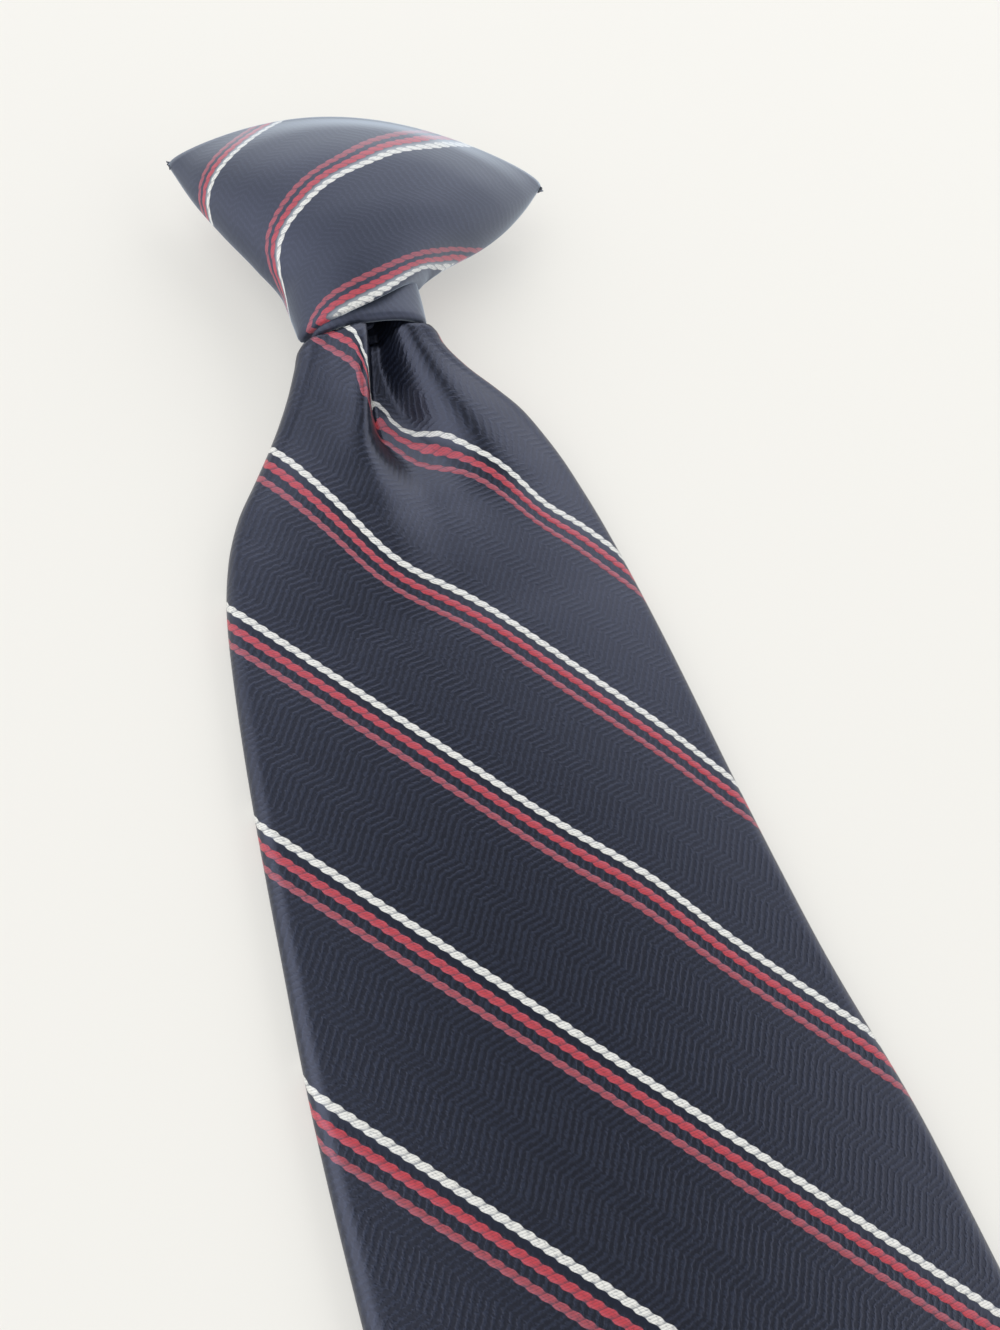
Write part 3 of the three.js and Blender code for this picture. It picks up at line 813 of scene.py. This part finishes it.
# %% [markdown]
# One rope of the weave is a raised cord of slanted strands, each made of a few plies. It could be modelled,
# but there are metres of it, and it stands up by less than a millimetre. So it is a node group, which gives
# its mask, its height and how deep a spot lies between two strands, and the material makes a bump of the
# height. The weave paints each strand darker by that depth, as painted shade between the strands.

# %% The rope group
PLIES = 4
PLY_DEPTH = 0.38
GROOVE_DEPTH = 0.35
SCALLOP = 0.16
ROPE_EDGE = (0.88, 1.08)
NOTCH_EDGE = (0.6, 1.0)


def rope_group():
    """A raised rope along a stripe: where it is, how high, and how far between strands."""
    tree, g, start, end = new_group(
        "rope",
        [("Offset", "NodeSocketFloat"), ("Along", "NodeSocketFloat"), ("Half Width", "NodeSocketFloat"),
         ("Twist", "NodeSocketFloat"), ("Lean", "NodeSocketFloat")],
        [("Mask", "NodeSocketFloat"), ("Height", "NodeSocketFloat"), ("Groove", "NodeSocketFloat")],
    )
    offset, along, half = (start.outputs[k] for k in ("Offset", "Along", "Half Width"))
    turns = g.math("ADD", g.math("DIVIDE", along, start.outputs["Twist"]),
                   g.math("MULTIPLY", offset, start.outputs["Lean"]))
    wave = g.math("SINE", g.math("MULTIPLY", turns, 2 * math.pi))
    share = g.math("DIVIDE", g.math("ABSOLUTE", offset), half)
    scallop = g.math("MULTIPLY_ADD", wave, SCALLOP, share)
    mask = g.math("SUBTRACT", 1.0, g.rise(scallop, *ROPE_EDGE))
    dome = g.math("SQRT", g.math("MAXIMUM", 0.0, g.math("SUBTRACT", 1.0, g.math("POWER", share, 2.0))))
    notch = g.math("MULTIPLY", g.rise(wave, *NOTCH_EDGE), g.math("MULTIPLY_ADD", share, 0.7, 0.3))
    plies = g.rise(g.math("SINE", g.math("MULTIPLY", turns, PLIES * 2 * math.pi)), 0.1, 1.0)
    groove = g.math("MINIMUM", 1.0, g.math("MULTIPLY_ADD", plies, PLY_DEPTH, notch))
    height = g.math("MULTIPLY", mask, g.math("MULTIPLY_ADD", groove, -GROOVE_DEPTH, dome))
    g.feed(end.inputs["Mask"], mask)
    g.feed(end.inputs["Height"], height)
    g.feed(end.inputs["Groove"], g.math("MULTIPLY", groove, mask))
    return tree


ROPE = rope_group()
print("rope group:", len(ROPE.nodes), "nodes")

# %% [markdown]
# The ribs of the ground lean one way in a narrow band and the other way in a wide one, which draws the
# faint zigzag of a herringbone. A wave texture gives only one direction, so the distance along the stripes
# is shifted by a zigzag of the distance across them, and its cosine makes the ribs. Two noises keep them
# uneven.

# %% Ribs of the ground
WHITE, BRIGHT, DULL = 0.0, 2.23, 4.56
WHITE_HALF, BRIGHT_HALF, DULL_HALF = 0.515, 0.565, 0.48
RIB_PITCH = 1.08
NARROW, WIDE = 2.9, 5.0
STEEP, SHALLOW = 0.6, 0.3
THREAD_GRAIN = (4500.0, 1300.0, 0.5)
RIB_GRAIN = 1700.0
RIB_WANDER, RIB_FRAY = 0.75, 0.4


def thread_flecks(g, cloth):
    """Uneven threads: a fine noise about zero, drawn out along the stripes."""
    stretch = g.add("ShaderNodeVectorMath", operation="MULTIPLY")
    g.feed(stretch.inputs[0], cloth)
    stretch.inputs[1].default_value = THREAD_GRAIN
    return g.math("SUBTRACT", g.noise(stretch.outputs[0], 1.0, 2.0), 0.5)


def herringbone(g, cloth, across, along, fleck):
    """The ribs: 1 on top of a rib and 0 between two."""
    past = g.math("SUBTRACT", across, DULL + DULL_HALF)
    whole = g.math("FLOOR", g.math("DIVIDE", past, NARROW + WIDE))
    part = g.math("MINIMUM", g.math("FLOORED_MODULO", past, NARROW + WIDE), NARROW)
    leaned = g.math("MULTIPLY", g.math("MULTIPLY_ADD", whole, NARROW, part), STEEP + SHALLOW)
    zigzag = g.math("SUBTRACT", leaned, g.math("MULTIPLY", past, SHALLOW))
    phase = g.math("DIVIDE", g.math("ADD", along, zigzag), RIB_PITCH)
    wander = g.noise(cloth, RIB_GRAIN, 1.0)
    uneven = g.math("MULTIPLY_ADD", wander, RIB_WANDER, g.math("MULTIPLY_ADD", fleck, RIB_FRAY, phase))
    wave = g.math("COSINE", g.math("MULTIPLY", uneven, 2 * math.pi))
    return g.math("POWER", g.math("MULTIPLY_ADD", wave, 0.5, 0.5), 2.0)


print("ribs run", round(math.degrees(math.atan(STEEP))), "degrees one way and",
      round(math.degrees(math.atan(SHALLOW))), "the other")

# %% [markdown]
# The weave group puts the cloth together from the ground up: the ribs, a strip of smoother satin beside the
# white rope, then the three ropes. It is one group because the blade and the knot are cut from the same
# cloth. Its input Gather says how close together the ropes lie, which the knot's tight wrap needs.

# %% The weave group
ROPE_TWIST, ROPE_LEAN = 1.9, 0.5
# Each rope's own colour, then its dark colour: painted shade between the strands, which also mottles the rope
# at random.
ROPES = (
    (BRIGHT, BRIGHT_HALF, rgb("#b83e44"), rgb("#74323a")),
    (DULL, DULL_HALF, rgb("#a1494f"), rgb("#5f363e")),
    (WHITE, WHITE_HALF, rgb("#e6e6e0"), rgb("#8d9092")),
)
FLECK_STRENGTH = 2.6
RIB_HEIGHT, RIB_PAINTED_HIGHLIGHT = 0.26, 0.8
SATIN_STARTS, SATIN_ENDS = (0.3, 0.6), (0.7, 1.8)


def weave_group():
    """Colour, height and satin share of the cloth at a place across and along its stripes."""
    tree, g, start, end = new_group(
        "tie weave",
        [("Cloth", "NodeSocketVector"), ("Ground Color", "NodeSocketColor"), ("Rib Highlight And Fleck Color", "NodeSocketColor"),
         ("Satin And Painted Reflection Color", "NodeSocketColor"), ("Gather", "NodeSocketFloat")],
        [("Color", "NodeSocketColor"), ("Height", "NodeSocketFloat"), ("Satin", "NodeSocketFloat")],
    )
    cloth, gather = start.outputs["Cloth"], start.outputs["Gather"]
    place = g.add("ShaderNodeSeparateXYZ")
    g.feed(place.inputs[0], cloth)
    along = g.math("MULTIPLY", place.outputs["Y"], 1000.0)
    spot_in = g.math("FLOORED_MODULO", g.math("MULTIPLY", place.outputs["X"], 1000.0), REPEAT)
    fleck = thread_flecks(g, cloth)

    drawn = g.math("DIVIDE", spot_in, gather)
    satin = g.math("SUBTRACT", 1.0, g.rise(drawn, *SATIN_ENDS))
    satin = g.math("MULTIPLY", g.rise(spot_in, *SATIN_STARTS), satin)
    ribs = g.math("MULTIPLY", herringbone(g, cloth, spot_in, along, fleck), g.math("SUBTRACT", 1.0, satin))
    # The rib tops are painted lighter than the ground between them, a painted highlight and shade along the
    # rib bump. The threads' random flecks lighten it too.
    fleck_and_rib_highlight = g.math("MULTIPLY_ADD", fleck, FLECK_STRENGTH, g.math("MULTIPLY", ribs, RIB_PAINTED_HIGHLIGHT))
    colour = g.mix(fleck_and_rib_highlight, start.outputs["Ground Color"], start.outputs["Rib Highlight And Fleck Color"])
    # The satin strip's colour goes on here. On the knot it is pale, a painted reflection of the light on the
    # satin.
    colour = g.mix(satin, colour, start.outputs["Satin And Painted Reflection Color"])
    height = g.math("MULTIPLY", ribs, RIB_HEIGHT)

    worn = g.math("MULTIPLY", g.math("MAXIMUM", 0.0, fleck), FLECK_STRENGTH)
    for centre, half, light, groove_shade_and_mottle in ROPES:
        rope = g.add("ShaderNodeGroup", node_tree=ROPE)
        past = g.math("SUBTRACT", spot_in, g.math("MULTIPLY", gather, centre))
        offset = g.math("FLOORED_MODULO", g.math("ADD", past, REPEAT / 2), REPEAT)
        g.feed(rope.inputs["Offset"], g.math("SUBTRACT", offset, REPEAT / 2))
        g.feed(rope.inputs["Along"], along)
        rope.inputs["Half Width"].default_value = half
        rope.inputs["Twist"].default_value = ROPE_TWIST
        rope.inputs["Lean"].default_value = ROPE_LEAN
        # Strands are painted darker between one another, as painted shade in the grooves, and darker at
        # random where the threads are worn.
        strand_with_painted_shade = g.mix(g.math("ADD", rope.outputs["Groove"], worn), light, groove_shade_and_mottle)
        colour = g.mix(rope.outputs["Mask"], colour, strand_with_painted_shade)
        height = g.math("MAXIMUM", height, rope.outputs["Height"])
    g.feed(end.inputs["Color"], colour)
    g.feed(end.inputs["Height"], height)
    g.feed(end.inputs["Satin"], satin)
    return tree


WEAVE = weave_group()
print("weave group:", len(WEAVE.nodes), "nodes")

# %% [markdown]
# The finish is a soft satin: dark seen straight down, paler where light grazes it. A rough shader alone would
# turn it grey all over, so its highlights are kept narrow and tinted blue. Sheen is the haze of loose fibres.
# The pressed blade has none. The knot has a lot, and flatter ribs, and its colours are the blade's painted
# lighter: painted light for the brighter light on the knot, with a painted reflection on its pale satin
# strip.

# %% The cloth
HIGHLIGHT_TINT = (0.6, 0.66, 0.93, 1.0)
HAZE_TINT = (0.72, 0.84, 1.0, 1.0)
SATIN_SMOOTHER = 0.06
WEAVE_DEPTH = 0.0004


def new_material(name):
    """A material, the graph of its nodes and its shader."""
    material = bpy.data.materials.new(name)
    material.use_nodes = True
    return material, Graph(material.node_tree), material.node_tree.nodes["Principled BSDF"]


def cloth_material(name, ground, rib_highlight_and_fleck, satin, gather, gloss, blur, haze, relief):
    """The woven cloth of one piece: its colours, how close its ropes lie and how it shines."""
    material, g, shader = new_material(name)
    weave = g.add("ShaderNodeGroup", node_tree=WEAVE)
    g.feed(weave.inputs["Cloth"], g.add("ShaderNodeUVMap", uv_map="cloth").outputs["UV"])
    for label, code in (("Ground Color", ground), ("Rib Highlight And Fleck Color", rib_highlight_and_fleck), ("Satin And Painted Reflection Color", satin)):
        weave.inputs[label].default_value = rgb(code)
    weave.inputs["Gather"].default_value = gather
    g.feed(shader.inputs["Base Color"], weave.outputs["Color"])
    g.feed(shader.inputs["Roughness"], g.math("MULTIPLY_ADD", weave.outputs["Satin"], -SATIN_SMOOTHER, blur))
    g.bump(shader, weave.outputs["Height"], relief, WEAVE_DEPTH)
    shader.inputs["IOR"].default_value = gloss
    shader.inputs["Specular IOR Level"].default_value = 1.0
    shader.inputs["Specular Tint"].default_value = HIGHLIGHT_TINT
    shader.inputs["Sheen Weight"].default_value = haze
    shader.inputs["Sheen Roughness"].default_value = 0.4
    shader.inputs["Sheen Tint"].default_value = HAZE_TINT
    return material


blade_satin = cloth_material("blade_satin", ground="#040508", rib_highlight_and_fleck="#1c2230", satin="#171b26",
                             gather=1.0, gloss=1.52, blur=0.34, haze=0.0, relief=0.24)
# The knot's ground and rib colours are the blade's cloth painted lighter, as painted light for the brighter
# light on the knot.
knot_satin_painted_lighter = cloth_material("knot_satin_painted_lighter", ground="#1e222e", rib_highlight_and_fleck="#2a2f3e", satin="#8b9197",
                            gather=0.78, gloss=1.5, blur=0.45, haze=0.9, relief=0.07)
print("on the knot the ropes lie", knot_satin_painted_lighter.node_tree.nodes["Group"].inputs["Gather"].default_value,
      "times as far apart as on the blade")

# %% [markdown]
# The loose ends and the stitches are navy thread. One plain colour would do from afar, but fibres that
# stand up catch light, so a fine noise makes the thread paler here and there.

# %% The thread
FIBRE_GRAIN = 700.0


def thread_material():
    """Navy sewing thread, a little paler here and there."""
    material, g, shader = new_material("thread")
    shade = g.noise(g.add("ShaderNodeTexCoord").outputs["Object"], FIBRE_GRAIN, 2.0)
    g.feed(shader.inputs["Base Color"], g.mix(g.rise(shade, 0.45, 0.7), rgb("#1c2436"), rgb("#7d8799")))
    shader.inputs["Roughness"].default_value = 0.6
    shader.inputs["Sheen Weight"].default_value = 0.3
    return material


navy_thread = thread_material()
print("thread:", len(navy_thread.node_tree.nodes), "nodes")

# %% [markdown]
# A clip like this is nickel-plated spring steel, brushed along its length. A picture of scratches would
# need unwrapping. A noise drawn out along the strip gives the brushing, in the colour, the gloss and a
# shallow bump.

# %% The steel
BRUSHING = (9000.0, 300.0, 3000.0)
SCRATCH_DEPTH = 0.00002


def steel_material():
    """Nickel-plated spring steel with fine brushing along the strip."""
    material, g, shader = new_material("clip_steel")
    turn = g.add("ShaderNodeMapping")
    turn.inputs["Rotation"].default_value = (0.0, 0.0, -CLIP_TURN)
    turn.inputs["Scale"].default_value = BRUSHING
    g.feed(turn.inputs["Vector"], g.add("ShaderNodeTexCoord").outputs["Object"])
    brushed = g.noise(turn.outputs["Vector"], 1.0, 3.0)
    g.feed(shader.inputs["Base Color"], g.mix(brushed, rgb("#a9acb0"), rgb("#c9cbce")))
    g.feed(shader.inputs["Roughness"], g.math("MULTIPLY_ADD", brushed, 0.16, 0.2))
    g.bump(shader, brushed, 0.15, SCRATCH_DEPTH)
    shader.inputs["Metallic"].default_value = 1.0
    return material


clip_steel = steel_material()
print("steel:", len(clip_steel.node_tree.nodes), "nodes")

# %% [markdown]
# Both wraps of the knot are one piece of cloth on the real tie, so they share a material.

# %% Each piece gets its finish
for piece, finish in ((blade, blade_satin), (flap, knot_satin_painted_lighter), (band, knot_satin_painted_lighter), (clip, clip_steel),
                      (tip_threads, navy_thread), (seam_stitches, navy_thread)):
    piece.data.materials.append(finish)
    print(piece.name, "is finished in", finish.name)

# %% [markdown]
# ## Pieces in place of the solid model's parts
#
# Each of these stands for one piece of the solid model, which is hidden, and all of them hang from the root
# body.

# %% Pieces and the parts they stand for
for piece, node in ((blade, "blade"), (flap, "knot_flap"), (band, "knot_band"), (clip, "clip")):
    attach(piece, "root")
    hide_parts(node)
    print(piece.name, "stands for", node)
for piece in (tip_threads, seam_stitches):
    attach(piece, "root")

# %% [markdown]
# ## Floor, lights and camera
#
# The tie lies on a white table top. It could be lit until it is as pale as it should be, but that would
# bleach the tie too, so the floor glows a little by itself and keeps the tie's shadow.

# %% Floor
FLOOR_REACH = 3.0


def make_floor():
    """A plain pale floor under the tie."""
    bm = bmesh.new()
    bmesh.ops.create_grid(bm, x_segments=1, y_segments=1, size=FLOOR_REACH)
    floor = add_piece("floor", bm)
    material, _, shader = new_material("pale_floor")
    shader.inputs["Base Color"].default_value = rgb("#b2b1ad")
    shader.inputs["Emission Color"].default_value = rgb("#fbfaf6")
    shader.inputs["Emission Strength"].default_value = 0.42
    shader.inputs["Roughness"].default_value = 0.6
    shader.inputs["Specular IOR Level"].default_value = 0.2
    floor.data.materials.append(material)


make_floor()
print("the floor reaches", FLOOR_REACH, "m to each side")

# %% [markdown]
# A large window behind the tie lights it at a slant, which shows the puff of the knot and the dimple. One
# lamp overhead would flatten them. A weaker, slightly warm light at the left opens the shadows.

# %% Lights
KNOT_PLACE = (0.01, 0.22, 0.01)


def soft_light(name, place, size, power, tint):
    """An area light that faces the knot."""
    data = bpy.data.lights.new(name, "AREA")
    data.shape = "RECTANGLE"
    data.size, data.size_y = size
    data.energy = power
    data.color = tint
    light = bpy.data.objects.new(name, data)
    light.location = place
    light.rotation_euler = (Vector(KNOT_PLACE) - Vector(place)).to_track_quat("-Z", "Y").to_euler()
    bpy.context.scene.collection.objects.link(light)
    print(name, "gives", power, "watts")


soft_light("window", (0.5, 1.35, 1.2), (2.2, 1.4), 12.0, (1.0, 1.0, 1.0))
soft_light("left_fill", (-1.2, 0.1, 0.9), (1.0, 1.6), 3.5, (1.0, 0.985, 0.96))

# %% [markdown]
# Satin mirrors its room, so the room matters as much as the lamps. White walls make the blade's edges pale.
# A darker strip of ceiling, wider towards the back of the room, is mirrored by the flat middle of the blade
# and keeps it dark. Panels could be built for this, but a world made of nodes adds nothing to the scene.

# %% The room
WALLS, CEILING = (1.0, 0.995, 0.985, 1.0), (0.02, 0.02, 0.022, 1.0)
STRIP_ACROSS, STRIP_DOWN = 0.935, -0.355
RIGHT_FADES = 1.65
STRIP_EDGE, STRIP_BACK, STRIP_LOW = (0.14, 0.7), (0.35, 1.3), (0.05, 0.3)
ROOM_STRENGTH = 1.3


def room_light():
    """White walls all round and a darker strip of ceiling over the blade."""
    world = bpy.data.worlds.new("room")
    bpy.context.scene.world = world
    world.use_nodes = True
    g = Graph(world.node_tree)
    background = world.node_tree.nodes["Background"]
    place = g.add("ShaderNodeSeparateXYZ")
    g.feed(place.inputs[0], g.add("ShaderNodeTexCoord").outputs["Generated"])
    x, y, z = place.outputs
    aside = g.math("MULTIPLY_ADD", z, STRIP_DOWN, g.math("MULTIPLY", x, STRIP_ACROSS))
    far = g.math("MAXIMUM", g.math("MULTIPLY", aside, -1.0), g.math("MULTIPLY", aside, RIGHT_FADES))
    narrowing = g.math("MAXIMUM", 0.5, g.math("SUBTRACT", 1.15, y))
    strip = g.math("SUBTRACT", 1.0, g.rise(g.math("MULTIPLY", far, narrowing), *STRIP_EDGE))
    strip = g.math("MULTIPLY", strip, g.math("SUBTRACT", 1.0, g.rise(y, *STRIP_BACK)))
    strip = g.math("MULTIPLY", strip, g.rise(z, *STRIP_LOW))
    g.feed(background.inputs["Color"], g.mix(strip, WALLS, CEILING))
    background.inputs["Strength"].default_value = ROOM_STRENGTH


room_light()
bpy.context.scene.view_settings.view_transform = "Standard"
print("the room's walls shine at", ROOM_STRENGTH, "times white")

# %% [markdown]
# The camera looks steeply down from the left of the tie and close to it, so the point of the blade runs out
# of the picture. Its focal length is the width of the picture, as on a phone's main camera. A long lens
# from far off would show the same part, but the blade wouldn't widen towards the viewer as it does in a
# photo taken by hand.

# %% Camera
CAMERA_TURN = (24.460873, -14.884830, -21.443297)
PICTURE_HEIGHT, FOCAL_PIXELS = 1330, 1000.0
SENSOR_SIDE = 36.0
camera_data = bpy.data.cameras.new("photo_camera")
camera_data.sensor_width = SENSOR_SIDE
camera_data.lens = SENSOR_SIDE * FOCAL_PIXELS / PICTURE_HEIGHT
camera_data.clip_start = 0.005
camera = bpy.data.objects.new("photo_camera", camera_data)
camera.location = (-0.049524, 0.108444, 0.134713)
camera.rotation_euler = [math.radians(a) for a in CAMERA_TURN]
bpy.context.scene.collection.objects.link(camera)
bpy.context.scene.camera = camera
print("camera:", round(camera.location.z * 1000), "mm above the table, lens", round(camera_data.lens), "mm")
